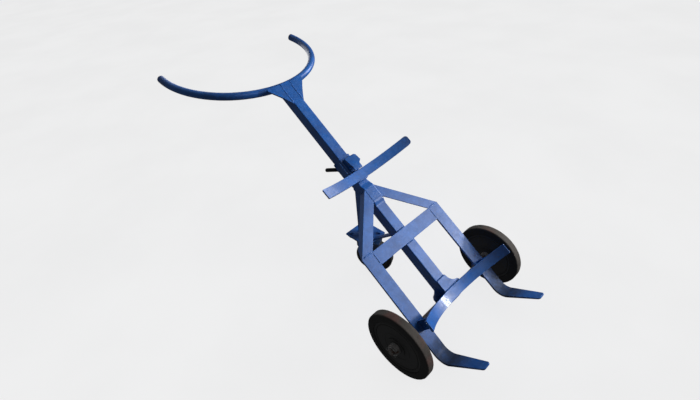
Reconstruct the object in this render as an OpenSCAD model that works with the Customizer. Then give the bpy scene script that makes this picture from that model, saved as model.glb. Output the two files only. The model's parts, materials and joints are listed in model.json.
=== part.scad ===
// Drum hand truck: a square mast with a bowed handlebar, a forked toe, a curved
// drum saddle, a sliding chime hook, two fixed wheels and a swivel caster.
// World frame: +Z up, floor at Z = 0, toes point to -Y, mast leans to +Y.
// Mast frame: X across, Y from front (-) to back (+), Z up along the mast, with
// its origin on the axle.

/* [Stance] */
// Angle between the mast and the vertical, at rest
lean = 53.5; // [50:0.5:56]
// How far the axle stands in front of the origin
axle_setback = 450.6; // [446:0.5:460]

/* [Main wheels] */
// Outer diameter of the main wheels
wheel_d = 250; // [240:1:256]
// Width of the main tyres
tyre_w = 31; // [28:1:38]
// Distance from the middle of the truck to the middle of each wheel
wheel_x = 270; // [266:1:278]
// Diameter of the axle
axle_d = 20; // [16:1:22]
// Outer diameter of the steel hub tube
hub_d = 40; // [36:1:44]
// Length of the hub tube
hub_len = 64; // [56:1:66]

/* [Mast and handlebar] */
// Outer side of the square mast tube
mast_w = 46; // [42:1:46]
// Wall of the mast tube
mast_wall = 3; // [2:0.5:4]
// Height along the mast at which the handlebar crosses it
handle_z = 995.5; // [980:0.5:1010]
// Radius of the handlebar's bow
handle_r = 321; // [300:1:340]
// Diameter of the handlebar tube
handle_d = 29; // [25:0.5:32]
// Angle by which the handlebar's plane leans back from the mast
handle_lean = 26.8; // [20:0.2:32]
// Half of the handlebar's arc
handle_half = 94.6; // [90:0.2:100]

/* [Fork frame] */
// Outer edge of each rail, from the middle
rail_x = 207; // [200:1:212]
// Width of the flat bar that the rails are made of
rail_w = 50; // [45:1:54]
// Thickness of the flat bars
flat_t = 8; // [6:1:8]
// Height of the rails' top end above the axle
rail_top = 284; // [270:1:300]
// Length of the straight part of each toe
toe_len = 129.5; // [110:0.5:160]
// Angle through which each rail is bent into its toe
toe_bend = 70; // [60:1:80]
// Width of each toe at its tip
toe_tip_w = 33; // [30:1:50]
// Thickness of each toe at its tip
toe_tip_t = 5; // [4:0.5:8]
// Height of the cross bar
cross_h = 53; // [45:1:55]
// Height at which the diagonal braces meet the mast
apex_z = 476; // [460:1:490]
// Width of each diagonal angle iron
brace_w = 38; // [34:1:42]
// Depth of each diagonal angle iron
brace_depth = 40; // [34:1:44]
// Thickness of each diagonal angle iron
brace_t = 4; // [3:0.5:5]

/* [Drum saddle and rest bar] */
// Inner radius of the lower saddle
saddle_r = 298; // [290:1:306]
// Height of the saddle bar
saddle_h = 37.5; // [32:0.5:40]
// Thickness of the saddle bar
saddle_t = 7.5; // [6:0.5:7.5]
// Half of the saddle's arc
saddle_half = 47; // [43:0.5:48]
// Inner radius of the upper rest bar
rest_r = 454; // [430:1:480]
// Height of the upper rest bar
rest_h = 37; // [32:0.5:38]
// Middle height of the upper rest bar along the mast
rest_z = 529.5; // [524:0.5:531]
// Half of the upper rest bar's arc
rest_half = 27.8; // [22:0.2:28]
// Small twist of the rest bar, higher at its +X end
rest_roll = 1.3; // [0:0.05:2]
// Turn of the rest bar about its own centre, towards its +X end
rest_turn = 2.7; // [0:0.1:3]
// Gap that the spacer sets between mast and rest bar
rest_gap = 14; // [12:0.5:16]

/* [Sliding chime hook] */
// Height of the collar's lower edge, at rest
collar_z = 556; // [555:1:570]
// Length of the collar along the mast
collar_len = 70; // [60:1:76]
// Outer side of the square collar
collar_w = 54; // [53:0.5:56]
// Width of the chime hook
hook_w = 34; // [28:1:40]
// Angle of the clamp handle above the horizontal
clamp_tilt = 26.8; // [0:0.1:40]

/* [Swivel caster] */
// Distance from the axle back to the swivel axis
caster_y = 401; // [395:1:407]
// Top of the caster's mounting plate above the floor
plate_top = 190; // [190:0.5:194]
// Diameter of the caster wheel
caster_d = 154; // [144:1:154]
// Width of the caster tyre
caster_w = 38; // [32:1:40]
// Trail between swivel axis and caster wheel
trail = 35; // [35:1:38]
// Angle of the caster's trail at rest, from the -Y direction
caster_yaw = 25; // [0:1:45]

/* [Hidden] */

$fn = 96;
// Clearance of a face against a face, and play of a shaft in its bore
gap = 0.3;
play = 0.05;
paint = [0.16, 0.29, 0.56];
black = [0.11, 0.11, 0.11];
steel = [0.62, 0.63, 0.65];

axle_r = axle_d / 2;
wheel_r = wheel_d / 2;
front = -mast_w / 2;              // front face of the mast, in the mast frame
rail_front = front - flat_t;      // front face of the rails
rail_in = rail_x - rail_w;        // inner edge of the rails
bend_r = 40;                      // inner bend radius of the toes
bend_z = -96.1;                   // height at which the bend starts
rim_r = wheel_r - 27;             // inner radius of the tyres
disc_t = tyre_w - 5;              // thickness of the wheel discs
bush_r = 13;                      // outer radius of the bushes
hub_in = wheel_x - hub_len / 2;   // inner end of the hub tube
hub_out = wheel_x + hub_len / 2;  // outer end of the hub tube
washer_t = 3;
washer_r = 18;
pin_x = hub_out + washer_t + 4.5; // place of the cotter pins
pin_r = 2;
axle_half = hub_out + 11;
tube_r = handle_d / 2;
tube_in = tube_r - 2.5;           // bore radius of the handlebar tube
rest_front = front - rest_gap - flat_t;
plate_t = 6;
plate_x = 107;
plate_y = 117;
bolt_x = 38;
bolt_y = 43;
bolt_r = 5;
top_plate_t = 5;
top_z = plate_top - plate_t - top_plate_t;  // underside of the caster's top plate
crown_top = top_z - 14;           // upper face of the fork's crown
crown_t = 4;
ball_r = 4;
ball_ring = 26;
ball_z = top_z - 7;
balls = 16;
race_in = 19;
race_out = 33;
king_r = 6;
leg_in = 24.5;                    // inner face of the fork legs
leg_t = 4;
cax_r = 5;                        // radius of the caster's axle bolt
sleeve_r = 7;
ccore_r = caster_d / 2 - 17;
screw_z = 605;
screw_r = 6;
screw_y = 45;

// ---- frames and small shapes ----

// Places its children, drawn in the mast frame, in the world
module on_mast() {
  translate([0, -axle_setback, wheel_r]) rotate([-lean, 0, 0]) children();
}

// Everything in front of the mast's back face, to cut parts that butt against it
module mast_side() {
  on_mast() translate([-200, -400, -200]) cube([400, 400 + mast_w / 2, 1200]);
}

// Frame of the handlebar: its bow lies in the X-Z plane, with its lowest point at 0
module handle_frame() {
  translate([0, 0, handle_z]) rotate([-handle_lean, 0, 0])
    translate([0, 0, handle_r]) rotate([90, 0, 0]) children();
}

// A bent bar of the given section along the handlebar's bow
module handle_arc(half, r) {
  rotate([0, 0, -90 - half]) rotate_extrude(angle = 2 * half)
    translate([handle_r, 0]) circle(r, $fn = 64);
}

// Frame of a fixed wheel on side s, with +Z pointing outwards along the axle
module on_axle(s) {
  translate([0, -axle_setback, wheel_r]) rotate([0, 90 * s, 0]) children();
}

// Frame of the swivelling caster: X along its trail, Z up, origin on the floor
module on_swivel() {
  translate([0, caster_y - axle_setback, 0]) rotate([0, 0, caster_yaw - 90]) children();
}

// Frame of the caster's wheel: Z along its axle
module on_caster_axle() {
  on_swivel() translate([trail, 0, caster_d / 2]) rotate([90, 0, 0]) children();
}

// Square with rounded corners
module round_square(w, h, r) {
  square([w - 2 * r, h], center = true);
  square([w, h - 2 * r], center = true);
  for (sx = [-1, 1], sy = [-1, 1])
    translate([sx * (w / 2 - r), sy * (h / 2 - r)]) circle(r, $fn = 32);
}

// A ring with a rectangular section
module ring(r_out, r_in, h) {
  rotate_extrude() translate([r_in, 0]) square([r_out - r_in, h]);
}

// A ring standing on its arc: bar of thickness t and height h, bent about radius r
module bent_bar(r, t, h, half) {
  rotate([0, 0, 90 - half]) rotate_extrude(angle = 2 * half)
    translate([r, -h / 2]) square([t, h]);
}

// ---- mast and handlebar ----

module mast_tube() {
  color(paint) on_mast() difference() {
    translate([0, 0, front]) linear_extrude(handle_z - front)
      difference() {
        round_square(mast_w, mast_w, 4);
        round_square(mast_w - 2 * mast_wall, mast_w - 2 * mast_wall, 2);
      }
    handle_frame() handle_arc(12, tube_r);
    rotate([0, 90, 0]) cylinder(r = axle_r + play, h = 2 * mast_w, center = true);
  }
}

module handlebar() {
  color(paint) on_mast() handle_frame() difference() {
    handle_arc(handle_half, tube_r);
    handle_arc(handle_half, tube_in);
  }
}

module handle_end_plugs() {
  color(black) on_mast() handle_frame()
    for (s = [0, 1]) mirror([s, 0, 0])
      rotate([0, 0, handle_half - 90]) translate([handle_r, 0, 0]) rotate([-90, 0, 0]) {
        cylinder(r = tube_r, h = 3);
        translate([0, 0, 3]) cylinder(r1 = tube_r, r2 = tube_r - 2, h = 2, $fn = 64);
        translate([0, 0, -14]) cylinder(r = tube_in - 0.25, h = 14);
      }
}

// Two wings that tie the mast's front face to the handlebar
module handle_gussets() {
  foot = [mast_w / 2, 898];
  tip = [82, 984];
  mid = (foot + tip) / 2;
  run = norm(tip - foot);
  sag = 2;
  r = run * run / (8 * sag) + sag / 2;
  normal = [tip[1] - foot[1], foot[0] - tip[0]] / run;
  color(paint) on_mast() for (s = [0, 1]) mirror([s, 0, 0])
    translate([0, front + 6, 0]) rotate([90, 0, 0]) linear_extrude(6)
      difference() {
        polygon([foot, tip, [tip[0], handle_z], [foot[0], handle_z - 2]]);
        translate(mid + normal * (r - sag)) circle(r, $fn = 200);
      }
}

// ---- fork frame ----

// The +X diagonal: an angle iron with its flange in front and its leg outside, whose
// lower end slopes back from the rail
module diagonal() {
  top = [mast_w / 2, apex_z];
  low = [rail_x - 1, rail_top];
  slope = atan2(top[1] - low[1], low[0] - top[0]);
  flange_x = brace_w / sin(slope);
  flange_z = brace_w / cos(slope);
  leg_x = brace_t / sin(slope);
  leg_z = brace_t / cos(slope);
  translate([0, rail_front + brace_t, 0]) rotate([90, 0, 0]) linear_extrude(brace_t)
    polygon([low, low - [flange_x, 0], top - [0, flange_z], top]);
  difference() {
    translate([0, rail_front + brace_depth, 0]) rotate([90, 0, 0])
      linear_extrude(brace_depth) polygon([low, low - [leg_x, 0], top - [0, leg_z], top]);
    translate([0, front, rail_top]) rotate([45, 0, 0]) translate([0, 0, -100])
      cube([300, 100, 100]);
  }
}

module left_diagonal() {
  color(paint) on_mast() mirror([1, 0, 0]) diagonal();
}

module right_diagonal() {
  color(paint) on_mast() diagonal();
}

module cross_bar() {
  color(paint) on_mast() translate([-rail_in, rail_front, rail_top - cross_h])
    cube([2 * rail_in, flat_t, cross_h]);
}

// Side view of a rail about the centre of its bend: bar, bend and toe
module rail_profile() {
  outer = bend_r + flat_t;
  far = 2 * outer;
  half_turn = tan(toe_bend / 2);
  along = [-sin(toe_bend), -cos(toe_bend)];
  across = [cos(toe_bend), -sin(toe_bend)];
  difference() {
    polygon([[0, 0], [bend_r, 0], [bend_r, rail_top - bend_z], [outer, rail_top - bend_z],
      [outer, -outer * half_turn], outer * across,
      (bend_r + toe_tip_t) * across + toe_len * along,
      bend_r * across + toe_len * along, bend_r * across]);
    circle(bend_r);
    difference() {
      polygon([[0, 0], [far, 0], [far, -far * half_turn], far * across]);
      circle(outer);
    }
  }
}

// Outline of a toe from above, narrowing to a tip with rounded corners
module toe_outline() {
  corner = 8;
  narrow = rail_w - toe_tip_w;
  polygon([[0, 1], [rail_w, 1], [rail_w, 0], [rail_w - narrow, corner - toe_len],
    [rail_w - narrow - corner, -toe_len], [corner, -toe_len], [0, corner - toe_len]]);
  translate([corner, corner - toe_len]) circle(corner);
  translate([toe_tip_w - corner, corner - toe_len]) circle(corner);
}

// The +X rail: a flat bar that is bent forward into the toe
module rail() {
  translate([rail_in, rail_front - bend_r, bend_z]) difference() {
    rotate([90, 0, 90]) linear_extrude(rail_w) rail_profile();
    rotate([-toe_bend, 0, 0]) translate([0, bend_r + flat_t + 1, 0]) rotate([90, 0, 0])
      linear_extrude(flat_t + 2) difference() {
        translate([-5, -toe_len - 5]) square([rail_w + 10, toe_len + 5]);
        toe_outline();
      }
  }
}

module left_rail() {
  color(paint) on_mast() mirror([1, 0, 0]) rail();
}

module right_rail() {
  color(paint) on_mast() rail();
}

// ---- saddle and rest bar ----

// Plate on the mast's front that backs the saddle and flares to the +X side
module saddle_gusset() {
  flare = 44;
  half = saddle_h / 2;
  color(paint) on_mast() translate([0, front, 0]) rotate([90, 0, 0])
    linear_extrude(flat_t) difference() {
      polygon([[front, -half], [60, -half], [60, half + 2], [mast_w / 2, half + 2 + flare],
        [front, half + 2 + flare]]);
      translate([60, half + 2 + flare]) circle(38);
    }
}

// Plate between the mast's -X side and the axle
module axle_gusset() {
  color(paint) on_mast() difference() {
    translate([0, 13, 0]) rotate([90, 0, 0]) linear_extrude(6) difference() {
      polygon([[front, 3], [-54, 3], [-54, 20], [front, 68]]);
      translate([-58, 66]) circle(38);
    }
    rotate([0, 90, 0]) cylinder(r = axle_r + play, h = 200, center = true);
  }
}

module drum_saddle() {
  color(paint) on_mast() translate([0, rail_front - saddle_t - saddle_r, 1.25])
    rotate([0, 0, -2]) bent_bar(saddle_r, saddle_t, saddle_h, saddle_half);
}

// The +X web between a rail and the saddle
module saddle_web() {
  reach = 110;
  difference() {
    translate([rail_in + 20, rail_front - reach, -18]) cube([flat_t, reach, 36]);
    translate([0, rail_front - saddle_t - saddle_r, 0])
      cylinder(r = saddle_r + saddle_t, h = 100, center = true, $fn = 240);
  }
}

module left_saddle_web() {
  color(paint) on_mast() mirror([1, 0, 0]) saddle_web();
}

module right_saddle_web() {
  color(paint) on_mast() saddle_web();
}

module rest_bar_spacer() {
  color(paint) on_mast() difference() {
    translate([-26, front - rest_gap - 3, rest_z - 19]) cube([48, rest_gap + 3, 34]);
    translate([0, rest_front - rest_r, rest_z])
      cylinder(r = rest_r + flat_t, h = 100, center = true, $fn = 300);
  }
}

// What rounds the two corners at the +X end of a bar of half length x and half height y
module bar_corners(x, y, r) {
  for (side = [-1, 1]) difference() {
    translate([x, side * y]) square(2 * r, center = true);
    translate([x - r, side * (y - r)]) circle(r, $fn = 48);
  }
}

// Curved flat bar, nearly square at its -X end and round at its +X end
module drum_rest_bar() {
  chord = 2 * rest_r * sin(rest_half) + 2;
  color(paint) on_mast() translate([0, rest_front - rest_r, rest_z])
    rotate([0, -rest_roll, 0]) rotate([0, 0, -rest_turn]) intersection() {
      bent_bar(rest_r, flat_t, rest_h, rest_half + 1);
      translate([0, rest_r + 20, 0]) rotate([90, 0, 0]) linear_extrude(120)
        difference() {
          square([chord, rest_h], center = true);
          bar_corners(chord / 2, rest_h / 2, 11);
          mirror([1, 0]) bar_corners(chord / 2, rest_h / 2, 3);
        }
    }
}

// ---- axle ----

module axle() {
  color(steel) on_axle(1) difference() {
    union() {
      cylinder(r = axle_r, h = 2 * axle_half - 2, center = true);
      for (s = [0, 1]) mirror([0, 0, s]) translate([0, 0, axle_half - 1])
        cylinder(r1 = axle_r, r2 = axle_r - 1, h = 1, $fn = 96);
    }
    for (s = [-1, 1]) translate([0, 0, s * pin_x]) rotate([90, 0, 0])
      cylinder(r = pin_r + play, h = 30, center = true, $fn = 32);
  }
}

// The +X lug under a rail that carries the axle
module axle_lug() {
  lug_r = 19;
  translate([rail_in + 22, 0, 0]) rotate([90, 0, 90]) linear_extrude(12)
    difference() {
      union() {
        circle(lug_r);
        translate([front, -lug_r]) square([-front, 2 * lug_r]);
      }
      circle(axle_r + play);
    }
}

module left_axle_lug() {
  color(paint) on_mast() mirror([1, 0, 0]) axle_lug();
}

module right_axle_lug() {
  color(paint) on_mast() axle_lug();
}

// Tubes on the axle between the lugs and the wheels
module axle_spacers() {
  start = rail_in + 34;
  color(steel) for (s = [-1, 1]) on_axle(s) translate([0, 0, start])
    ring(15, axle_r + play, hub_in - gap - start);
}

module axle_washers() {
  color(steel) for (s = [-1, 1]) on_axle(s) translate([0, 0, hub_out + gap])
    ring(washer_r, axle_r + play, washer_t);
}

// Split pins: two bent legs and an eye each
module cotter_pins() {
  leg = 2 * axle_r + 10;
  color(steel) for (s = [-1, 1]) on_axle(s) translate([0, 0, pin_x]) rotate([90, 0, 0]) {
    translate([0, 0, -axle_r - 4]) cylinder(r = pin_r, h = leg, $fn = 32);
    translate([0, 0, -axle_r - 6.5]) rotate([90, 0, 0]) rotate_extrude($fn = 48)
      translate([3, 0]) circle(1.5, $fn = 24);
  }
}

// ---- fixed wheels ----

module wheel_tyre(s) {
  shoulder = 5;
  color(black) on_axle(s) translate([0, 0, wheel_x]) rotate_extrude($fn = 200)
    translate([(wheel_r + rim_r) / 2, 0]) difference() {
      square([wheel_r - rim_r, tyre_w], center = true);
      for (k = [-1, 1]) translate([(wheel_r - rim_r) / 2, k * tyre_w / 2]) difference() {
        square(2 * shoulder, center = true);
        translate([-shoulder, -k * shoulder]) circle(shoulder, $fn = 32);
      }
    }
}

// Disc with a raised land around the hub and a shallow groove near the tyre
module wheel_disc(s) {
  color(black) on_axle(s) translate([0, 0, wheel_x]) rotate_extrude($fn = 200)
    difference() {
      union() {
        translate([hub_d / 2, -disc_t / 2]) square([rim_r - hub_d / 2, disc_t]);
        translate([hub_d / 2, -tyre_w / 2]) square([14, tyre_w]);
      }
      for (k = [-1, 1]) translate([rim_r - 12, k * disc_t / 2]) circle(2, $fn = 24);
    }
}

module wheel_hub(s) {
  color(steel) on_axle(s) translate([0, 0, hub_in]) ring(hub_d / 2, bush_r, hub_len);
}

module wheel_bush(s) {
  color(black) on_axle(s) translate([0, 0, hub_in]) ring(bush_r, axle_r + play, hub_len);
}

module left_tyre() { wheel_tyre(-1); }
module left_wheel_disc() { wheel_disc(-1); }
module left_hub() { wheel_hub(-1); }
module left_bush() { wheel_bush(-1); }
module right_tyre() { wheel_tyre(1); }
module right_wheel_disc() { wheel_disc(1); }
module right_hub() { wheel_hub(1); }
module right_bush() { wheel_bush(1); }

// ---- caster mounting ----

module caster_post() {
  side = 40;
  color(paint) difference() {
    translate([0, caster_y - axle_setback, plate_top]) linear_extrude(320)
      difference() {
        round_square(side, side, 3);
        round_square(side - 6, side - 6, 1.5);
      }
    mast_side();
  }
}

// Inclined flat bar from the front of the mounting plate up to the mast
module caster_brace() {
  width = 26;
  rise = 39.5;
  foot = caster_y - axle_setback - plate_y / 2;
  foot_w = plate_t / sin(rise);
  run = 170 * [-cos(rise), sin(rise)];
  color(paint) difference() {
    translate([-width / 2, foot, plate_top]) rotate([90, 0, 90]) linear_extrude(width)
      polygon([[2, 0], [2 + foot_w, 0], [2 + foot_w, 0] + run, [2, 0] + run]);
    mast_side();
  }
}

module bolt_places() {
  for (sx = [-1, 1], sy = [-1, 1])
    translate([sx * bolt_x, caster_y - axle_setback + sy * bolt_y, 0]) children();
}

module plate_blank(z, t, w, d, corner) {
  difference() {
    translate([0, caster_y - axle_setback, z]) linear_extrude(t) round_square(w, d, corner);
    bolt_places() translate([0, 0, z - 1]) cylinder(r = bolt_r + 0.5, h = t + 2, $fn = 48);
  }
}

module caster_mount_plate() {
  color(paint) plate_blank(plate_top - plate_t, plate_t, plate_x, plate_y, 2);
}

module caster_top_plate() {
  color(steel) difference() {
    plate_blank(top_z, top_plate_t, plate_x - 5, plate_y - 5, 8);
    translate([0, caster_y - axle_setback, top_z - 1])
      cylinder(r = king_r + play, h = top_plate_t + 2, $fn = 64);
  }
}

module plate_bolts() {
  color(steel) bolt_places() {
    translate([0, 0, plate_top]) cylinder(r = 9.8, h = 6.4, $fn = 6);
    translate([0, 0, top_z - 10.5]) cylinder(r = bolt_r, h = plate_top - top_z + 10.5, $fn = 48);
  }
}

module plate_nuts() {
  color(steel) bolt_places() translate([0, 0, top_z - 8]) difference() {
    cylinder(r = 9.8, h = 8, $fn = 6);
    translate([0, 0, -1]) cylinder(r = bolt_r + play, h = 10, $fn = 48);
  }
}

// ---- swivel bearing ----

module race_section(z0, z1) {
  difference() {
    translate([race_in, z0]) square([race_out - race_in, z1 - z0]);
    translate([ball_ring, ball_z]) circle(ball_r + play, $fn = 48);
  }
}

module swivel_upper_race() {
  color(steel) translate([0, caster_y - axle_setback, 0]) rotate_extrude()
    race_section(ball_z + 0.8, top_z);
}

module swivel_lower_race() {
  color(steel) on_swivel() rotate_extrude() race_section(crown_top, ball_z - 0.8);
}

module swivel_balls() {
  color(steel) on_swivel() for (i = [0 : balls - 1])
    rotate([0, 0, 360 * i / balls]) translate([ball_ring, 0, ball_z])
      sphere(ball_r, $fn = 32);
}

module kingpin() {
  low = crown_top - crown_t - 12;
  color(steel) translate([0, caster_y - axle_setback, low])
    cylinder(r = king_r, h = plate_top - plate_t - low, $fn = 64);
}

module kingpin_nut() {
  color(steel) translate([0, caster_y - axle_setback, crown_top - crown_t - gap - 9.7])
    difference() {
      cylinder(r = 10.9, h = 9.7, $fn = 6);
      translate([0, 0, -1]) cylinder(r = king_r + play, h = 12, $fn = 64);
    }
}

// ---- swivelling fork and caster wheel ----

module caster_fork() {
  half = leg_in + leg_t;
  crown_low = crown_top - crown_t;
  color(paint) on_swivel() {
    difference() {
      translate([17, 0, crown_low]) linear_extrude(crown_t) round_square(94, 2 * half, 6);
      translate([0, 0, crown_low - 1]) cylinder(r = king_r + play, h = crown_t + 2, $fn = 64);
    }
    for (s = [-1, 1]) translate([0, s * (leg_in + leg_t / 2) + leg_t / 2, 0])
      rotate([90, 0, 0]) linear_extrude(leg_t) difference() {
        union() {
          polygon([[-29, crown_low], [63, crown_low], [trail + 16, caster_d / 2],
            [trail - 16, caster_d / 2], [-29, crown_low - 20]]);
          translate([trail, caster_d / 2]) circle(16);
        }
        translate([trail, caster_d / 2]) circle(cax_r + 0.1, $fn = 64);
      }
  }
}

module caster_axle_bolt() {
  reach = leg_in + leg_t;
  color(steel) on_caster_axle() {
    translate([0, 0, -reach]) cylinder(r = cax_r, h = 2 * reach + 11, $fn = 64);
    translate([0, 0, -reach - 6.4]) cylinder(r = 9.8, h = 6.4, $fn = 6);
  }
}

module caster_axle_nut() {
  color(steel) on_caster_axle() translate([0, 0, leg_in + leg_t]) difference() {
    cylinder(r = 9.8, h = 8, $fn = 6);
    translate([0, 0, -1]) cylinder(r = cax_r + play, h = 10, $fn = 64);
  }
}

module caster_sleeve() {
  half = leg_in - 0.1;
  color(steel) on_caster_axle() translate([0, 0, -half])
    ring(sleeve_r, cax_r + play, 2 * half);
}

module caster_core() {
  hub_half = leg_in - 1;
  color(black) on_caster_axle() rotate_extrude() difference() {
    union() {
      translate([sleeve_r + play, -hub_half]) square([12, 2 * hub_half]);
      translate([sleeve_r + 4, -5]) square([ccore_r - sleeve_r - 4, 10]);
      translate([ccore_r - 8, -caster_w / 2 + 2]) square([8, caster_w - 4]);
    }
    square(0.01);
  }
}

module caster_tyre() {
  shoulder = 9;
  depth = caster_d / 2 - ccore_r;
  color(black) on_caster_axle() rotate_extrude($fn = 160)
    translate([ccore_r, 0]) difference() {
      translate([0, -caster_w / 2]) square([depth, caster_w]);
      for (k = [-1, 1]) translate([depth, k * caster_w / 2]) difference() {
        square(2 * shoulder, center = true);
        translate([-shoulder, -k * shoulder]) circle(shoulder, $fn = 48);
      }
    }
}

// ---- sliding collar ----

module slide_collar() {
  bore = mast_w + 1;
  color(paint) on_mast() difference() {
    translate([0, 0, collar_z]) linear_extrude(collar_len) difference() {
      round_square(collar_w, collar_w, 5);
      square(bore, center = true);
    }
    translate([0, mast_w / 2 - 2, screw_z]) rotate([-90, 0, 0])
      cylinder(r = screw_r + 0.3, h = 12, $fn = 64);
  }
}

// Claw on the collar's front: a sloping face over a jaw that opens downwards, with
// an ear at its +X side
module chime_hook() {
  base = -collar_w / 2;
  left = -hook_w / 2;
  right = hook_w / 2 + 3;
  ear = right + 16;
  top = collar_z + 55;
  color(paint) on_mast() intersection() {
    translate([left, 0, 0]) rotate([90, 0, 90]) linear_extrude(ear - left)
      polygon([[base, top], [base - 14, top], [base - 17, top - 4], [base - 28, top - 45],
        [base - 28, top - 61], [base - 23, top - 63], [base - 21, top - 59],
        [base - 21, top - 37], [base - 17, top - 33], [base - 9, top - 33],
        [base - 5, top - 37], [base - 5, top - 54], [base, top - 54]]);
    rotate([90, 0, 0]) linear_extrude(100)
      polygon([[left, top - 70], [right, top - 70], [right, top - 43], [ear - 1, top - 33],
        [ear, top - 7], [ear - 5, top], [left + 3, top], [left, top - 4]]);
  }
}

// Threaded boss on the collar's back
module clamp_boss() {
  color(paint) on_mast() translate([0, collar_w / 2, screw_z]) rotate([-90, 0, 0])
    ring(12, screw_r + play, 10);
}

module clamp_screw() {
  tip = mast_w / 2 + 0.15;
  head = collar_w / 2 + 10 + gap;
  color(black) on_mast() translate([0, tip, screw_z]) rotate([-90, 0, 0]) {
    cylinder(r = screw_r, h = head - tip, $fn = 64);
    translate([0, 0, head - tip]) cylinder(r = 9, h = 16);
  }
}

// Round rod that turns the clamp screw, with a domed end
module clamp_handle() {
  rod_r = 7.5;
  reach = 54;
  color(black) on_mast() translate([0, screw_y, screw_z]) rotate([0, clamp_tilt, 0])
    rotate([0, -90, 0]) difference() {
      union() {
        cylinder(r = rod_r, h = reach, $fn = 64);
        translate([0, 0, reach]) sphere(rod_r, $fn = 64);
      }
      rotate([0, -90, 0]) rotate([0, -clamp_tilt, 0]) rotate([90, 0, 0])
        cylinder(r = 9, h = 60, center = true);
    }
}

mast_tube();
handlebar();
handle_end_plugs();
handle_gussets();
left_diagonal();
right_diagonal();
cross_bar();
left_rail();
right_rail();
drum_saddle();
saddle_gusset();
axle_gusset();
left_saddle_web();
right_saddle_web();
rest_bar_spacer();
drum_rest_bar();
axle();
left_axle_lug();
right_axle_lug();
axle_spacers();
axle_washers();
cotter_pins();
caster_post();
caster_brace();
caster_mount_plate();
caster_top_plate();
plate_bolts();
plate_nuts();
swivel_upper_race();
kingpin();
kingpin_nut();
swivel_balls();
swivel_lower_race();
caster_fork();
caster_axle_bolt();
caster_axle_nut();
caster_sleeve();
caster_core();
caster_tyre();
left_tyre();
left_wheel_disc();
left_hub();
left_bush();
right_tyre();
right_wheel_disc();
right_hub();
right_bush();
slide_collar();
chime_hook();
clamp_boss();
clamp_screw();
clamp_handle();
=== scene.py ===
"""A worn blue drum hand truck: enamel, weld beads, dusty rubber and small hardware built
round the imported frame, on a plain pale floor in soft light. All lengths are in metres."""
import json
import math

import bmesh
import bpy
from mathutils import Matrix, Vector, noise


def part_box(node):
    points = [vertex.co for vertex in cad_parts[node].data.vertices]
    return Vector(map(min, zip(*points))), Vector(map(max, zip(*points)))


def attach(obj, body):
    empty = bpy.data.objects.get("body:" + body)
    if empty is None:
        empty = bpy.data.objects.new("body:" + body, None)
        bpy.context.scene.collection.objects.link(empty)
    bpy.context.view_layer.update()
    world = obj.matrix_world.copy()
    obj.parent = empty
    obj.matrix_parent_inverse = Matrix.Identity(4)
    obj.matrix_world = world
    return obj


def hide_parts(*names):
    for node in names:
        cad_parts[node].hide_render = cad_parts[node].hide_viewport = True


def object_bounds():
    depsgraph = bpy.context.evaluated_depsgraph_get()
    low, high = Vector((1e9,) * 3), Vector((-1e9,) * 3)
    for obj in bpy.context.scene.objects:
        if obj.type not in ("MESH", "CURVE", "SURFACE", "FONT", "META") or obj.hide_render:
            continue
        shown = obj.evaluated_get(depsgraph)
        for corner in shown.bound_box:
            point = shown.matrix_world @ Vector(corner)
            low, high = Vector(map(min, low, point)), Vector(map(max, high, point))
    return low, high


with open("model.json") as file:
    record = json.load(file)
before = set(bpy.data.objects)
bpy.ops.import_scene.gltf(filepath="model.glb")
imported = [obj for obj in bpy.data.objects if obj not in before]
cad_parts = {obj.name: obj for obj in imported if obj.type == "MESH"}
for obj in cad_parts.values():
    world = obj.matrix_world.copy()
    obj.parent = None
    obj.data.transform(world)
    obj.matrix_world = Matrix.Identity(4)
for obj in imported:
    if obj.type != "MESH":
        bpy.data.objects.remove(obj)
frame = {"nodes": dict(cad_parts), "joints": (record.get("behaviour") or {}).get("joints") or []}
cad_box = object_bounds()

MM = 0.001

# ---- the frame's own places ----

joints = {joint["name"]: joint for joint in frame["joints"]}
across = Vector((1, 0, 0))
mast_up = Vector(joints["hook_slide"]["axis"]).normalized()
mast_back = mast_up.cross(across)
axle = Vector(joints["left_wheel_spin"]["pos_m"])
axle.x = 0
# From the mast's frame (X across, Y towards the back, Z up the mast) to the world
MAST = Matrix.Translation(axle) @ Matrix((across, mast_back, mast_up)).transposed().to_4x4()
WORLD = Matrix.Identity(4)


def extent(node, space=MAST):
    """Lowest and highest corner of a CAD node, measured along the axes of a space."""
    inverse = space.inverted()
    points = [inverse @ vertex.co for vertex in frame["nodes"][node].data.vertices]
    low = Vector([min(p[i] for p in points) for i in range(3)])
    high = Vector([max(p[i] for p in points) for i in range(3)])
    return low, high


def shade(colour, factor):
    """A colour made brighter or darker."""
    return tuple(min(1, factor * c) for c in colour)


# ---- shader building ----

AO_SAMPLES = 6


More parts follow.
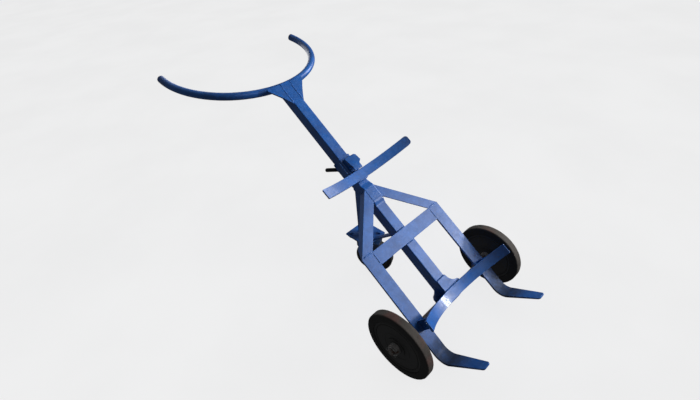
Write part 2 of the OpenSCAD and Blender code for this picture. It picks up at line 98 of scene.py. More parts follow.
class Shader:
    """A material under construction, with short ways to add and join nodes."""

    def __init__(self, name):
        self.material = bpy.data.materials.new(name)
        self.material.use_nodes = True
        self.tree = self.material.node_tree
        self.tree.nodes.clear()
        self.surface = self.tree.nodes.new("ShaderNodeBsdfPrincipled")
        output = self.tree.nodes.new("ShaderNodeOutputMaterial")
        self.tree.links.new(self.surface.outputs["BSDF"], output.inputs["Surface"])
        self.place = self.add("ShaderNodeTexCoord").outputs["Object"]
        self.geometry = self.add("ShaderNodeNewGeometry")

    def join(self, value, socket):
        if isinstance(value, bpy.types.NodeSocket):
            self.tree.links.new(value, socket)
        else:
            socket.default_value = value

    def add(self, kind, inputs=None, **settings):
        made = self.tree.nodes.new(kind)
        for key, value in settings.items():
            setattr(made, key, value)
        for key, value in (inputs or {}).items():
            self.join(value, made.inputs[key])
        return made

    def math(self, operation, a, b=0.0, c=0.0, clamp=False):
        made = self.add("ShaderNodeMath", {0: a, 1: b, 2: c}, operation=operation)
        made.use_clamp = clamp
        return made.outputs[0]

    def vector(self, operation, a, b=(0, 0, 0)):
        return self.add("ShaderNodeVectorMath", {0: a, 1: b}, operation=operation)

    def stretch(self, scale):
        """The place, stretched so that a texture runs along one direction."""
        return self.vector("MULTIPLY", self.place, scale).outputs["Vector"]

    def noise(self, scale, detail=4.0, roughness=0.55, place=None):
        inputs = {"Vector": place or self.place, "Scale": scale, "Detail": detail,
                  "Roughness": roughness}
        return self.add("ShaderNodeTexNoise", inputs).outputs["Fac"]

    def cells(self, scale, place=None):
        inputs = {"Vector": place or self.place, "Scale": scale}
        return self.add("ShaderNodeTexVoronoi", inputs, feature="F1").outputs["Distance"]

    def ramp(self, value, low, high, start=0.0, end=1.0):
        """A smooth step from start to end as value goes from low to high."""
        inputs = {"Value": value, "From Min": low, "From Max": high, "To Min": start,
                  "To Max": end}
        made = self.add("ShaderNodeMapRange", inputs, interpolation_type="SMOOTHSTEP")
        return made.outputs["Result"]

    def mix(self, factor, a, b):
        """Colour a where factor is 0, and b where it is 1."""
        made = self.add("ShaderNodeMix", data_type="RGBA")
        self.join(factor, made.inputs[0])
        for value, socket in ((a, made.inputs[6]), (b, made.inputs[7])):
            self.join(value if isinstance(value, bpy.types.NodeSocket) else (*value, 1), socket)
        return made.outputs[2]

    def blend(self, factor, a, b):
        """Number a where factor is 0, and b where it is 1."""
        made = self.add("ShaderNodeMix", {0: factor, 2: a, 3: b}, data_type="FLOAT")
        return made.outputs[0]

    def edges(self, reach):
        """1 on outer edges, fading to 0 at reach away from them."""
        inside = self.add("ShaderNodeAmbientOcclusion", {"Distance": reach}, inside=True,
                          only_local=True, samples=AO_SAMPLES)
        return self.ramp(inside.outputs["AO"], 0.75, 0.35)

    def corners(self, reach):
        """1 in corners and seams, fading to 0 in the open."""
        open_air = self.add("ShaderNodeAmbientOcclusion", {"Distance": reach},
                            samples=AO_SAMPLES)
        return self.ramp(open_air.outputs["AO"], 0.85, 0.35)

    def height(self):
        return self.add("ShaderNodeSeparateXYZ", {0: self.place}).outputs["Z"]

    def facing_up(self):
        """1 on what faces up, fading to 0 on upright faces."""
        up = self.add("ShaderNodeSeparateXYZ", {0: self.geometry.outputs["Normal"]})
        return self.ramp(up.outputs["Z"], 0.35, 1.0)

    def from_axis(self, centre, axis):
        """Distance of a point from an axis."""
        offset = self.vector("SUBTRACT", self.place, tuple(centre)).outputs["Vector"]
        turned = self.vector("CROSS_PRODUCT", offset, tuple(axis)).outputs["Vector"]
        return self.vector("LENGTH", turned).outputs["Value"]

    def bump(self, height, depth, under=None):
        inputs = {"Height": height, "Distance": depth, "Strength": 1.0}
        if under is not None:
            inputs["Normal"] = under
        return self.add("ShaderNodeBump", inputs).outputs["Normal"]

    def finish(self, colour, roughness, normal, metallic=0.0, **constants):
        self.join(colour, self.surface.inputs["Base Color"])
        self.join(roughness, self.surface.inputs["Roughness"])
        self.join(normal, self.surface.inputs["Normal"])
        self.join(metallic, self.surface.inputs["Metallic"])
        for key, value in constants.items():
            self.surface.inputs[key.replace("_", " ")].default_value = value
        return self.material


def enamel(name, deep, light, dust, chips=1.0, corner_shading=0.3):
    """Brushed-on enamel: drifts in tone, worn edges with a painted highlight, chips to bare
    metal, dust, scratches, and painted shade in the corners and on what is low."""
    s = Shader(name)
    drift = s.ramp(s.noise(5.0, 3.0), 0.36, 0.66)
    patches = s.noise(38.0, 5.0, 0.6)
    colour = s.mix(drift, deep, light)
    violet = tuple(0.75 * c + 0.25 * v for c, v in zip(light, (0.16, 0.08, 0.30)))
    colour = s.mix(s.ramp(s.noise(3.1, 2.0), 0.52, 0.74, 0.0, 0.32), colour, violet)
    colour = s.mix(s.ramp(patches, 0.35, 0.70, 0.0, 0.36), colour, shade(deep, 0.50))
    dabs = s.noise(85.0, 4.0, 0.7)
    colour = s.mix(s.ramp(dabs, 0.50, 0.72, 0.0, 0.30), colour, shade(light, 1.5))
    streaks = s.noise(6.0, 6.0, 0.65, s.stretch((1.0, 22.0, 22.0)))
    colour = s.mix(s.ramp(streaks, 0.58, 0.78, 0.0, 0.13), colour, dust)
    # dust on what faces up, painted shade in the corners
    settled = s.math("MULTIPLY", s.facing_up(), s.ramp(s.noise(60.0, 6.0, 0.7), 0.30, 0.75))
    colour = s.mix(s.math("MULTIPLY", settled, 0.20), colour, dust)
    corner_shade = s.math("MULTIPLY", s.corners(8 * MM), corner_shading)
    colour = s.mix(corner_shade, colour, (0.012, 0.014, 0.022))
    # painted shade on what is low, fading out between 105 and 160 mm up
    ragged = s.math("ADD", s.height(), s.math("MULTIPLY", s.noise(22.0, 4.0), 0.03))
    low_shade = s.math("MULTIPLY", s.ramp(ragged, 0.160, 0.105),
                      s.ramp(patches, 0.15, 0.6, 0.55, 0.9))
    colour = s.mix(low_shade, colour, (0.014, 0.022, 0.042))
    # edges: first thin, lighter paint that is partly a painted highlight, then chips to primer
    # and metal
    edge = s.edges(2.2 * MM)
    worn_and_highlit_edge = s.math("MULTIPLY", edge, s.ramp(s.noise(70.0, 4.0), 0.35, 0.70))
    colour = s.mix(s.math("MULTIPLY", worn_and_highlit_edge, 0.40), colour, shade(light, 1.9))
    flakes = s.noise(210.0, 5.0, 0.7)
    on_edge = s.math("MULTIPLY", edge, s.ramp(flakes, 0.60, 0.66))
    specks = s.math("MULTIPLY", s.ramp(s.cells(46.0), 0.13, 0.07),
                    s.ramp(s.noise(9.0), 0.56, 0.64))
    worn = s.math("MULTIPLY", s.math("MAXIMUM", on_edge, specks), chips, clamp=True)
    primer, steel = (0.070, 0.034, 0.020), (0.17, 0.165, 0.16)
    bare = s.mix(s.ramp(s.noise(320.0), 0.40, 0.62), primer, steel)
    colour = s.mix(worn, colour, bare)
    # fine scratches along and across
    along = s.noise(9.0, 3.0, 0.5, s.stretch((1.0, 1.0, 60.0)))
    over = s.noise(9.0, 3.0, 0.5, s.stretch((55.0, 1.0, 1.0)))
    scratch = s.math("MAXIMUM", s.ramp(along, 0.70, 0.74), s.ramp(over, 0.71, 0.75))
    colour = s.mix(s.math("MULTIPLY", scratch, 0.30), colour, dust)
    roughness = s.blend(settled, s.ramp(patches, 0.3, 0.8, 0.27, 0.42), 0.62)
    roughness = s.blend(worn, roughness, 0.78)
    roughness = s.blend(corner_shade, roughness, 0.75)
    roughness = s.blend(low_shade, roughness, 0.90)
    peel = s.bump(s.noise(420.0, 2.0), 0.05 * MM)
    waves = s.bump(s.noise(45.0, 3.0), 0.35 * MM, peel)
    chipped = s.bump(s.math("SUBTRACT", 1.0, worn), 0.18 * MM, waves)
    scored = s.bump(s.math("SUBTRACT", 1.0, scratch), 0.03 * MM, chipped)
    return s.finish(colour, roughness, scored, IOR=1.45, Coat_Weight=0.12, Coat_Roughness=0.10)


def bare_metal(name, colour, rust, rusted=0.3, rough=0.42, metallic=0.85, painted_above=None):
    """Dull turned or plated steel with fine marks, rust blooms and painted shade in the corners,
    and thin blue paint on what lies higher than painted_above."""
    s = Shader(name)
    grain = s.noise(30.0, 6.0, 0.7, s.stretch((1.0, 30.0, 30.0)))
    tone = s.mix(s.ramp(grain, 0.3, 0.75), shade(colour, 0.7), colour)
    bloom = s.noise(55.0, 6.0, 0.68)
    rust_here = s.ramp(bloom, 0.62 - 0.25 * rusted, 0.72 - 0.15 * rusted)
    tone = s.mix(rust_here, tone, rust)
    # painted shade: the corners are darkened
    corner_shade = s.corners(8 * MM)
    tone = s.mix(s.math("MULTIPLY", corner_shade, 0.7), tone, (0.015, 0.013, 0.012))
    bright = s.math("MULTIPLY", s.edges(1.2 * MM), 0.35)
    tone = s.mix(bright, tone, shade(colour, 1.5))
    roughness = s.blend(rust_here, s.ramp(grain, 0.2, 0.8, rough - 0.1, rough + 0.12), 0.85)
    shine = s.blend(rust_here, metallic, 0.1)
    if painted_above is not None:
        cover = s.math("MULTIPLY", s.ramp(s.height(), painted_above, painted_above + 0.5 * MM),
                       s.ramp(s.noise(150.0, 4.0), 0.72, 0.62))
        coat = s.mix(s.ramp(grain, 0.3, 0.7), (0.007, 0.060, 0.240), (0.010, 0.090, 0.340))
        tone = s.mix(cover, tone, coat)
        shine = s.blend(cover, shine, 0.0)
    marks = s.bump(grain, 0.04 * MM)
    pits = s.bump(bloom, 0.16 * MM, marks)
    return s.finish(tone, roughness, pits, shine)


def rubber(name, centre, axis, tread_at, face, tread, red=0.0):
    """Old rubber: near-black faces, and a tread that is scuffed brown-grey with dust and
    stained by the share red."""
    s = Shader(name)
    radius = s.from_axis(centre, axis)
    wobble = s.math("MULTIPLY", s.math("SUBTRACT", s.noise(45.0, 5.0), 0.5), 5 * MM)
    ragged = s.math("ADD", radius, wobble)
    on_tread = s.ramp(ragged, tread_at - 3.5 * MM, tread_at + 0.5 * MM)
    speckle = s.noise(260.0, 4.0, 0.7)
    patch = s.noise(17.0, 5.0, 0.6)
    dusty = s.mix(s.ramp(patch, 0.34, 0.68), shade(tread, 0.55), tread)
    if red:
        stain = (0.100, 0.033, 0.026)
        dusty = s.mix(s.ramp(s.noise(8.0, 3.0), 0.50, 0.66, 0.0, red), dusty, stain)
    side = s.mix(s.ramp(patch, 0.4, 0.75), face, shade(face, 1.9))
    colour = s.mix(on_tread, side, dusty)
    colour = s.mix(s.ramp(speckle, 0.60, 0.74, 0.0, 0.35), colour, shade(tread, 1.5))
    scuffed = s.math("MULTIPLY", s.edges(3 * MM), s.ramp(s.noise(60.0), 0.4, 0.62))
    colour = s.mix(s.math("MULTIPLY", scuffed, 0.45), colour, tread)
    roughness = s.ramp(patch, 0.2, 0.8, 0.66, 0.88)
    grain = s.bump(speckle, 0.10 * MM)
    scuffs = s.bump(s.noise(90.0, 5.0, 0.7), 0.30 * MM, grain)
    return s.finish(colour, roughness, scuffs, IOR=1.45)


def moulded(name, colour, dust, rough=0.6, dirt=0.35):
    """Moulded black plastic or hard rubber with a fine grain, dust, and painted shade in its
    corners.
    """
    s = Shader(name)
    patch = s.noise(24.0, 5.0, 0.6)
    tone = s.mix(s.ramp(patch, 0.35, 0.72), colour, shade(colour, 1.8))
    fine = s.noise(420.0, 3.0, 0.7)
    tone = s.mix(s.ramp(fine, 0.56, 0.72, 0.0, 0.22), tone, dust)
    settled = s.math("MULTIPLY", s.facing_up(), s.ramp(s.noise(70.0, 5.0), 0.35, 0.7))
    tone = s.mix(s.math("MULTIPLY", settled, dirt), tone, dust)
    pale = s.math("MULTIPLY", s.edges(1.5 * MM), s.ramp(s.noise(80.0), 0.42, 0.65))
    tone = s.mix(s.math("MULTIPLY", pale, 0.4), tone, shade(dust, 2.5))
    # painted shade: the corners are darkened
    tone = s.mix(s.math("MULTIPLY", s.corners(10 * MM), 0.6), tone, (0.006, 0.006, 0.006))
    roughness = s.ramp(patch, 0.2, 0.8, rough - 0.08, rough + 0.12)
    grain = s.bump(fine, 0.06 * MM)
    dents = s.bump(s.noise(65.0, 4.0), 0.25 * MM, grain)
    return s.finish(tone, roughness, dents)


# ---- the record's finishes ----

wheel_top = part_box("left_tyre")[1].z
wheel_r = wheel_top / 2
caster_hub = Vector(joints["caster_spin"]["pos_m"])
caster_axis = Vector(joints["caster_spin"]["axis"])
rust_brown = (0.085, 0.034, 0.018)
road_dust = (0.060, 0.052, 0.046)
blue = enamel("blue_paint", (0.008, 0.074, 0.300), (0.012, 0.116, 0.440), (0.09, 0.19, 0.42))
LOOKS = {
    "blue_paint": blue,
    "end_plug": moulded("end_plug", (0.014, 0.015, 0.020), (0.05, 0.05, 0.06)),
    "axle_steel": bare_metal("axle_steel", (0.22, 0.21, 0.20), rust_brown, 0.7, 0.5),
    "fastener": bare_metal("fastener", (0.34, 0.34, 0.34), rust_brown, 0.35,
                           painted_above=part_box("caster_mount_plate")[1].z),
    "hub_steel": bare_metal("hub_steel", (0.30, 0.295, 0.29), rust_brown, 0.45, 0.55, 0.35),
    # the caster's paint is the blue made darker, painted shade for the shadow the caster sits in
    "caster_metal": enamel("caster_metal", (0.008, 0.036, 0.120), (0.014, 0.056, 0.190),
                           (0.10, 0.12, 0.16), 1.6, 0.7),
    "caster_core": moulded("caster_core", (0.020, 0.020, 0.021), (0.05, 0.045, 0.04)),
    "caster_tyre": rubber("caster_tyre", caster_hub, caster_axis, caster_hub.z,
                          (0.008, 0.009, 0.013), (0.020, 0.021, 0.025)),
    "tyre": rubber("tyre", axle, across, wheel_r, (0.0095, 0.009, 0.0088), road_dust, 0.55),
    "wheel_disc": moulded("wheel_disc", (0.0155, 0.0152, 0.0150), (0.036, 0.033, 0.030), 0.62),
    "bush": moulded("bush", (0.03, 0.03, 0.03), (0.06, 0.05, 0.045), 0.5),
    "clamp_black": bare_metal("clamp_black", (0.020, 0.020, 0.024), (0.045, 0.022, 0.014), 0.25,
                              0.38, 0.4),
}


# ---- mesh building ----

def polar(radius, angle, height):
    return Vector((radius * math.cos(angle), radius * math.sin(angle), height))


def skin(mesh, near, far):
    """Joins two rings with as many corners by a band of faces."""
    for i in range(len(near)):
        j = (i + 1) % len(near)
        mesh.faces.new((near[i], near[j], far[j], far[i]))


def put(name, data):
    """A new object in the scene."""
    made = bpy.data.objects.new(name, data)
    bpy.context.scene.collection.objects.link(made)
    return made


def sweep(mesh, points, radius, sides, closed=False):
    """Adds a round tube along points. radius(k, angle) gives its radius at ring k."""
    count = len(points)
    rings = []
    side = None
    for k, point in enumerate(points):
        ahead = points[(k + 1) % count] if closed else points[min(k + 1, count - 1)]
        behind = points[k - 1] if closed else points[max(k - 1, 0)]
        forward = (ahead - behind).normalized()
        if side is None:
            side = forward.orthogonal().normalized()
        side = (side - forward * side.dot(forward)).normalized()
        other = forward.cross(side)
        ring = []
        for i in range(sides):
            angle = 2 * math.pi * i / sides
            reach = radius(k, angle)
            ring.append(mesh.verts.new(point + reach * (math.cos(angle) * side
                                                        + math.sin(angle) * other)))
        rings.append(ring)
    pairs = list(zip(rings, rings[1:]))
    if closed:
        pairs.append((rings[-1], rings[0]))
    for near, far in pairs:
        skin(mesh, near, far)
    if not closed:
        for ring, point in ((rings[0], points[0]), (rings[-1], points[-1])):
            centre = mesh.verts.new(point)
            for i in range(sides):
                mesh.faces.new((ring[i], ring[(i + 1) % sides], centre))


def revolve(mesh, outline, place, turns, shape=None):
    """Adds a closed ring: outline is (radius, height) pairs, turned about place's Z axis.
    shape(radius, height, angle) may move a point of it."""
    rings = []
    for k in range(turns):
        angle = 2 * math.pi * k / turns
        ring = []
        for radius, height in outline:
            if shape:
                radius, height = shape(radius, height, angle)
            ring.append(mesh.verts.new(place @ polar(radius, angle, height)))
        rings.append(ring)
    for k in range(turns):
        skin(mesh, rings[k], rings[(k + 1) % turns])


def piece(name, mesh, body, slot):
    """Turns mesh into an object that rides on a body and takes the finish of a slot."""
    bmesh.ops.recalc_face_normals(mesh, faces=mesh.faces)
    data = bpy.data.meshes.new(name)
    mesh.to_mesh(data)
    mesh.free()
    data.shade_smooth()
    data.materials.append(LOOKS[slot])
    made = put(name, data)
    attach(made, body)
    return made


# ---- CAD nodes: materials and rounded edges ----

# How wide the rounded edges of a node are, where they aren't the usual width
USUAL_EDGE = 0.7 * MM
EDGE = {"cotter_pins": 0, "swivel_balls": 0, "handlebar": 0.4 * MM, "handle_end_plugs": 0.6 * MM,
        "chime_hook": 1.2 * MM, "slide_collar": 0.6 * MM, "caster_tyre": 0.8 * MM,
        "drum_saddle": 1.0 * MM, "drum_rest_bar": 1.0 * MM}


def dress(name, part):
    """Gives a CAD node its finish and rounds its edges."""
    slot = part.material_slots[0].material.name.split(".")[0]
    part.material_slots[0].material = LOOKS[slot]
    for face in part.data.polygons:
        face.use_smooth = True
    width = EDGE.get(name, USUAL_EDGE)
    if width:
        weld = part.modifiers.new("Joined corners", "WELD")
        weld.merge_threshold = 0.01 * MM
        flat = part.modifiers.new("Whole faces", "DECIMATE")
        flat.decimate_type = "DISSOLVE"
        flat.angle_limit = math.radians(0.3)
        bevel = part.modifiers.new("Rounded edges", "BEVEL")
        bevel.limit_method = "ANGLE"
        bevel.angle_limit = math.radians(32)
        bevel.width = width
        bevel.segments = 2
        shading = part.modifiers.new("Even shading", "WEIGHTED_NORMAL")
        shading.weight = 60


for node_name, node in frame["nodes"].items():
    dress(node_name, node)


# ---- weld beads ----
# The length after a run's points is its bead's width. The small lengths in its ends stop it
# short of an edge or set how deep it sits.

RIPPLE = 1.9 * MM
BEAD_SIDES = 10
FLAT = 3 * MM           # how far a flattened bead is sunk below the face it joins
TO_MAST = MAST.inverted()


def line(start, end, step=RIPPLE / 3):
    """Evenly spaced points from start to end."""
    start, end = Vector(start), Vector(end)
    count = max(4, round((end - start).length / step))
    return [start.lerp(end, k / count) for k in range(count + 1)]


def loop(corners, step=RIPPLE / 3):
    """Evenly spaced points round a closed run of corners."""
    points = []
    for a, b in zip(corners, corners[1:] + corners[:1]):
        points += line(a, b, step)[:-1]
    return points


def bead(mesh, points, width, space=MAST, closed=False):
    """Adds a rippled bead that is half sunk in the plates it joins."""
    points = [space @ p for p in points]
    travelled = [0.0]
    for a, b in zip(points, points[1:]):
        travelled.append(travelled[-1] + (b - a).length)
    total = travelled[-1]

    def radius(k, angle):
        # each ripple swells along the bead and curves round it
        run = travelled[k] / RIPPLE - 0.35 * math.cos(2 * angle)
        scale = 1 + 0.13 * (run % 1.0)
        point = points[k]
        scale += 0.16 * noise.noise(point * 260 + Vector((angle, 0, 0)))
        scale += 0.14 * noise.noise(point * 70)
        if not closed:
            end = min(travelled[k], total - travelled[k])
            scale *= min(1.0, 0.45 + 0.55 * math.sqrt(end / width))
        return width / 2 * scale

    sweep(mesh, points, radius, BEAD_SIDES, closed)


def welds(name, body, runs):
    """One piece of weld beads: runs are (points, width) or (points, width, space, closed)."""
    mesh = bmesh.new()
    for run in runs:
        bead(mesh, *run)
    return piece(name, mesh, body, "blue_paint")


mast_low, mast_high = extent("mast_tube")
half = mast_high.x
front = mast_low.y
bar_low, bar_high = extent("cross_bar")
rail_face = bar_low.y


def both(points_of):
    """The same run on each side of the truck."""
    return [points_of(-1), points_of(1)]


def cross_bar_welds():
    gap = 4 * MM
    seam = both(lambda s: (line((s * bar_high.x, rail_face + FLAT, bar_low.z + gap),
                                (s * bar_high.x, rail_face + FLAT, bar_high.z - gap)), 8 * MM))
    behind = both(lambda s: (line((s * bar_high.x, front, bar_low.z + 2 * MM),
                                  (s * bar_high.x, front, bar_high.z - 2 * MM)), 5.5 * MM))
    sides = both(lambda s: (line((s * (half - 3 * MM), front + 0.5 * MM, bar_low.z + MM),
                                 (s * (half - 3 * MM), front + 0.5 * MM, bar_high.z - MM)),
                            6 * MM))
    ends = [(line((-half + gap, front, z), (half - gap, front, z)), 7 * MM)
            for z in (bar_high.z, bar_low.z)]
    welds("welds_cross_bar", "frame", seam + behind + sides + ends)


def apex_fill(high):
    """Ground-down weld metal that makes the mast's front flush between the two flanges."""
    mesh = bmesh.new()
    reach = half + 0.5 * MM
    below, above = 78 * MM, 24 * MM
    bottom, top = high.z - below, high.z + above
    columns, rows = 14, 60
    grid = []
    for k in range(rows + 1):
        run = k / rows
        # up over the first quarter of the length, and down over the last
        rise = min(1.0, 4 * run, 4 * (1 - run))
        rise *= rise * (3 - 2 * rise)
        row = []
        for i in range(columns + 1):
            x = reach * (2 * i / columns - 1)
            z = bottom + (top - bottom) * run
            # from 0.4 mm inside the mast to 0.2 mm proud of the flanges
            y = front + 0.4 * MM + (rail_face - front - 0.6 * MM) * rise
            y += 0.3 * MM * noise.noise(Vector((x, 0, z)) * 120) * rise
            row.append(mesh.verts.new(MAST @ Vector((x, y, z))))
        for x in (reach, -reach):
            row.append(mesh.verts.new(MAST @ Vector((x, front + 2 * MM, z))))
        grid.append(row)
    for near, far in zip(grid, grid[1:]):
        skin(mesh, near, far)
    mesh.faces.new(grid[0])
    mesh.faces.new(grid[-1][::-1])
    piece("weld_fill_apex", mesh, "frame", "blue_paint")


def diagonal_welds():
    low, high = extent("right_diagonal")
    runs = []
    for s in (-1, 1):
        runs.append((line((s * half, front + 3 * MM, high.z), (s * half, high.y - MM, high.z)),
                     6 * MM))
        # onto the rail's top end
        runs.append((line((s * (high.x - 50 * MM), rail_face + FLAT, low.z),
                          (s * (high.x - 5 * MM), rail_face + FLAT, low.z)), 8 * MM))
        runs.append((line((s * (high.x - 2 * MM), rail_face + 9 * MM, low.z),
                          (s * (high.x - 2 * MM), front + 2 * MM, low.z)), 5 * MM))
    welds("welds_diagonals", "frame", runs)
    apex_fill(high)


def handle_welds():
    low = extent("handle_gussets")[0]
    top = mast_high.z
    under_tube = top - 14 * MM
    runs = both(lambda s: (line((s * (half - MM), front + FLAT, low.z + 5 * MM),
                                (s * (half - MM), front + FLAT, under_tube)), 8 * MM))
    runs += both(lambda s: (line((s * half, front + 6.5 * MM, low.z + 3 * MM),
                                 (s * half, front + 6.5 * MM, under_tube)), 5.5 * MM))
    tube_side = 17.5 * MM
    for y in (-tube_side, tube_side):
        runs.append((line((-half + 2 * MM, y, top - 4 * MM), (half - 2 * MM, y, top - 4 * MM)),
                     9 * MM))
    welds("welds_handlebar", "frame", runs)


def saddle_welds():
    low, high = extent("drum_saddle")
    plate_low, plate_high = extent("saddle_gusset")
    web_low, web_high = extent("right_saddle_web")
    runs = [(line((-half, rail_face, high.z - MM), (34 * MM, rail_face, high.z - MM)), 7 * MM),
            (line((-half, rail_face, low.z + MM), (30 * MM, rail_face, low.z + MM)), 7 * MM)]
    for x in (web_low.x, web_high.x):
        runs += both(lambda s: (line((s * x, rail_face, web_low.z + MM),
                                     (s * x, rail_face, web_high.z - MM)), 5.5 * MM))
    # the gusset's top against the mast's front face
    runs.append((line((-half, plate_low.y + 8 * MM, plate_high.z),
                      (half, plate_low.y + 8 * MM, plate_high.z)), 5 * MM))
    welds("welds_saddle", "frame", runs)


def web_to_saddle_welds():
    low, high = extent("right_saddle_web")
    runs = []
    for s in (-1, 1):
        for z in (low.z, high.z):
            runs.append((line((s * low.x, low.y + 1.5 * MM, z), (s * high.x, low.y + 5 * MM, z)),
                         5 * MM))
    welds("welds_saddle_ends", "frame", runs)


def lug_welds():
    runs = []
    for node_side in ("left_axle_lug", "right_axle_lug"):
        low, high = extent(node_side)
        for x in (low.x, high.x):
            runs.append((line((x, front, low.z + MM), (x, front, high.z - MM)), 6 * MM))
        for z in (low.z, high.z):
            runs.append((line((low.x, front, z), (high.x, front, z)), 6 * MM))
    low, high = extent("axle_gusset")
    for y in (low.y, high.y):
        runs.append((line((-half, y, low.z + 2 * MM), (-half, y, high.z - 2 * MM)), 5 * MM))
    welds("welds_axle", "frame", runs)


def rest_bar_welds():
    low, high = extent("rest_bar_spacer")
    runs = []
    for z in (low.z, high.z):
        runs.append((line((low.x + MM, low.y, z), (high.x - MM, low.y, z)), 6 * MM))
        runs.append((line((low.x + 5 * MM, front, z), (high.x - 3 * MM, front, z)), 6 * MM))
    for x in (low.x, high.x):
        runs.append((line((x, low.y + MM, low.z + 2 * MM), (x, low.y + MM, high.z - 2 * MM)),
                     5 * MM))
    welds("welds_rest_bar", "frame", runs)


def post_welds():
    """Round the caster's post on its plate, and where post and brace meet the mast."""
    low, high = extent("caster_post", WORLD)
    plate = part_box("caster_mount_plate")[1].z
    corner = 2 * MM
    x0, x1 = low.x + corner, high.x - corner
    y0, y1 = low.y + corner, high.y - corner
    run = [Vector((x0, low.y, plate)), Vector((x1, low.y, plate)), Vector((high.x, y0, plate)),
           Vector((high.x, y1, plate)), Vector((x1, high.y, plate)), Vector((x0, high.y, plate)),
           Vector((low.x, y1, plate)), Vector((low.x, y0, plate))]
    runs = [(loop(run), 6 * MM, WORLD, True)]
    # the post's ends lie on the mast's back face
    back = mast_high.y
    foot = TO_MAST @ Vector((0, low.y, 0))
    rise = TO_MAST.to_3x3() @ Vector((0, 0, 1))
    top_front = foot + rise * ((back - foot.y) / rise.y)
    foot = TO_MAST @ Vector((0, high.y, 0))
    top_back = foot + rise * ((back - foot.y) / rise.y)
    z0, z1 = sorted((top_front.z, top_back.z))
    run = [Vector((low.x, back, z0)), Vector((high.x, back, z0)), Vector((high.x, back, z1)),
           Vector((low.x, back, z1))]
    runs.append((loop(run), 6.5 * MM, MAST, True))
    brace_low, brace_high = extent("caster_brace", WORLD)
    brace_top = extent("caster_brace")[1].z
    runs.append((line((brace_low.x, back, brace_top), (brace_high.x, back, brace_top)), 6 * MM))
    welds("welds_caster_post", "frame", runs)


def collar_welds():
    low, high = extent("chime_hook")
    face = high.y
    runs = both(lambda s: (line((s * high.x, face, low.z + 11 * MM),
                                (s * high.x, face, high.z - MM)), 5 * MM))
    runs.append((line((low.x, face, high.z), (high.x, face, high.z)), 5.5 * MM))
    boss_low, boss_high = extent("clamp_boss")
    centre = (boss_low + boss_high) / 2
    radius = (boss_high.x - boss_low.x) / 2
    ring = [Vector((radius * math.cos(a), boss_low.y, centre.z + radius * math.sin(a)))
            for a in (2 * math.pi * k / 110 for k in range(110))]
    runs.append((ring, 5 * MM, MAST, True))
    welds("welds_collar", "hook_collar", runs)


cross_bar_welds()
diagonal_welds()
handle_welds()
saddle_welds()
web_to_saddle_welds()
lug_welds()
rest_bar_welds()
post_welds()
collar_welds()


# ---- wheels ----

TYRE_DEPTH = 27 * MM    # from the tread in to the disc
DISC_INSET = 2.5 * MM   # how far a disc's faces lie behind the tyre's
TYRE_TURNS = 300
RING_TURNS = 160


def worn_tyre(side):
    """A solid rubber tyre with round shoulders, scuffs and small nicks."""
    node_name = side + "_tyre"
    low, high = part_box(node_name)
    centre = (low + high) / 2
    outer = (high.z - low.z) / 2
    width = high.x - low.x
    inner = outer - TYRE_DEPTH
    place = Matrix.Translation(centre) @ Matrix.Rotation(math.pi / 2, 4, "Y")
    shoulder = 5 * MM
    worn_band = 9 * MM
    arc_steps, face_steps = 6, 5
    outline = []
    for s in (-1, 1):
        arc = []
        for k in range(arc_steps + 1):
            angle = math.pi / 2 * k / arc_steps
            arc.append((outer - shoulder + shoulder * math.sin(angle),
                        s * (width / 2 - shoulder + shoulder * math.cos(angle))))
        flat = [(inner + (outer - shoulder - inner) * k / face_steps, s * width / 2)
                for k in range(face_steps)]
        tread = [(outer, s * (width / 2 - shoulder) * k / 3) for k in (2, 1)]
        outline.append(flat + arc + tread)
    outline = outline[0] + [(outer, 0.0)] + outline[1][::-1]

    def wear(radius, height, angle):
        # moved by the tyre's centre, so that the two tyres wear differently
        spot = centre * 3 + polar(radius, angle, height)
        rough = abs(noise.noise(spot * 60)) + 0.6 * abs(noise.noise(spot * 190))
        nick = max(0.0, noise.noise(spot * 115) - 0.48)
        on_shoulder = max(0.0, 1 - abs(radius - outer) / worn_band)
        radius -= on_shoulder * (0.5 * rough + 5.0 * nick) * MM
        height *= 1 - 0.006 * rough
        return radius, height

    mesh = bmesh.new()
    revolve(mesh, outline, place, TYRE_TURNS, wear)
    made = piece(side + "_tyre_rubber", mesh, side + "_wheel", "tyre")
    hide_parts(node_name)


def face_rings(side):
    """Moulded rings on both faces of a wheel's disc."""
    low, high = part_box(side + "_wheel_disc")
    centre = (low + high) / 2
    rim = (high.z - low.z) / 2
    tyre_low, tyre_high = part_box(side + "_tyre")
    disc_half = (tyre_high.x - tyre_low.x) / 2 - DISC_INSET
    place = Matrix.Translation(centre) @ Matrix.Rotation(math.pi / 2, 4, "Y")
    arc_steps = 8
    sunk = disc_half - MM
    mesh = bmesh.new()
    for radius, proud, breadth in ((rim - 5 * MM, 1.3 * MM, 3.2 * MM),
                                   (0.52 * rim, 0.9 * MM, 2.4 * MM)):
        for s in (-1, 1):
            outline = []
            for k in range(arc_steps + 1):
                angle = math.pi * k / arc_steps
                outline.append((radius + breadth * math.cos(angle),
                                s * (disc_half + proud * math.sin(angle))))
            outline.append((radius - breadth, s * sunk))
            outline.append((radius + breadth, s * sunk))
            revolve(mesh, outline, place, RING_TURNS)
    piece(side + "_wheel_rings", mesh, side + "_wheel", "wheel_disc")


for wheel_side in ("left", "right"):
    worn_tyre(wheel_side)
    face_rings(wheel_side)


# ---- small hardware ----

